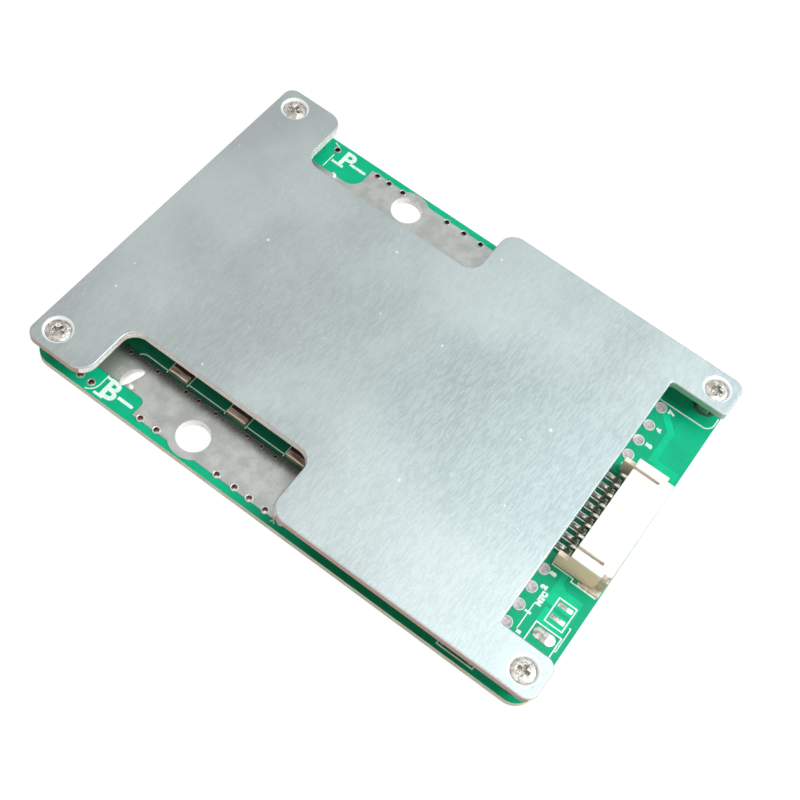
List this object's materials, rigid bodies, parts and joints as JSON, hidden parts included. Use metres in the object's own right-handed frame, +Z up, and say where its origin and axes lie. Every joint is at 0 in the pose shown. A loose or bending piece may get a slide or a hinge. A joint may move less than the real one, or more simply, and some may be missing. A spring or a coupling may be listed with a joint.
{
  "type": "battery management board",
  "caption": "Lithium battery management board: circuit board under a notched aluminium heat plate, with two open power terminals and a side-entry balance connector.",
  "frame": {"origin": "middle of the circuit board's underside", "axes": "+X along the board towards the balance connector, +Y across it from the B- side to the P- side, +Z up through the heat plate"},
  "size_m": [0.0856, 0.0604, 0.0062],
  "materials": {
    "solder_mask_board": "gloss green solder mask over glass-epoxy laminate",
    "tinned_copper": "hot-air levelled tin, slightly mottled",
    "plate_aluminium": "fine brushed grain across the plate",
    "nickel_screw": "nickel plated",
    "brass_standoff": "turned, tinned foot",
    "silicone_pad": "soft matt silicone",
    "power_transistor": "moulded epoxy with tinned tab and leads",
    "shunt_metal": "dark coating with tinned end caps",
    "connector_nylon": "natural white nylon",
    "contact_metal": "tin plated",
    "resistor_black": "black glaze with tinned end caps",
    "small_transistor": "moulded epoxy with tinned leads",
    "capacitor_tan": "tan ceramic with tinned end caps",
    "edge_resistor_brown": "brown coating with tinned end caps"
  },
  "bodies": {
    "root": {"circuit_board": "solder_mask_board", "b_minus_land": "tinned_copper", "p_minus_land": "tinned_copper", "heat_plate": "plate_aluminium", "plate_screws": "nickel_screw", "standoffs": "brass_standoff", "discharge_pad": "silicone_pad", "charge_pad": "silicone_pad", "discharge_fet_1": "power_transistor", "discharge_fet_2": "power_transistor", "discharge_fet_3": "power_transistor", "discharge_fet_4": "power_transistor", "discharge_fet_5": "power_transistor", "charge_fet_1": "power_transistor", "charge_fet_2": "power_transistor", "charge_fet_3": "power_transistor", "charge_fet_4": "power_transistor", "charge_fet_5": "power_transistor", "shunt_1": "shunt_metal", "shunt_2": "shunt_metal", "shunt_3": "shunt_metal", "shunt_4": "shunt_metal", "connector_housing": "connector_nylon", "contact_1": "contact_metal", "contact_2": "contact_metal", "contact_3": "contact_metal", "contact_4": "contact_metal", "contact_5": "contact_metal", "contact_6": "contact_metal", "contact_7": "contact_metal", "contact_8": "contact_metal", "solder_tab_near": "contact_metal", "solder_tab_far": "contact_metal", "balance_resistor_1": "resistor_black", "balance_resistor_2": "resistor_black", "balance_resistor_3": "resistor_black", "balance_resistor_4": "resistor_black", "balance_resistor_5": "resistor_black", "balance_resistor_6": "resistor_black", "balance_resistor_7": "resistor_black", "balance_transistor_1": "small_transistor", "balance_transistor_2": "small_transistor", "balance_transistor_3": "small_transistor", "balance_transistor_4": "small_transistor", "balance_transistor_5": "small_transistor", "balance_transistor_6": "small_transistor", "balance_transistor_7": "small_transistor", "cell_monitor": "small_transistor", "clamp_diode": "small_transistor", "filter_capacitor_1": "capacitor_tan", "filter_capacitor_2": "capacitor_tan", "filter_capacitor_3": "capacitor_tan", "filter_capacitor_4": "capacitor_tan", "filter_capacitor_5": "capacitor_tan", "filter_capacitor_6": "capacitor_tan", "filter_capacitor_7": "capacitor_tan", "edge_resistor": "edge_resistor_brown"}
  },
  "joints": []
}
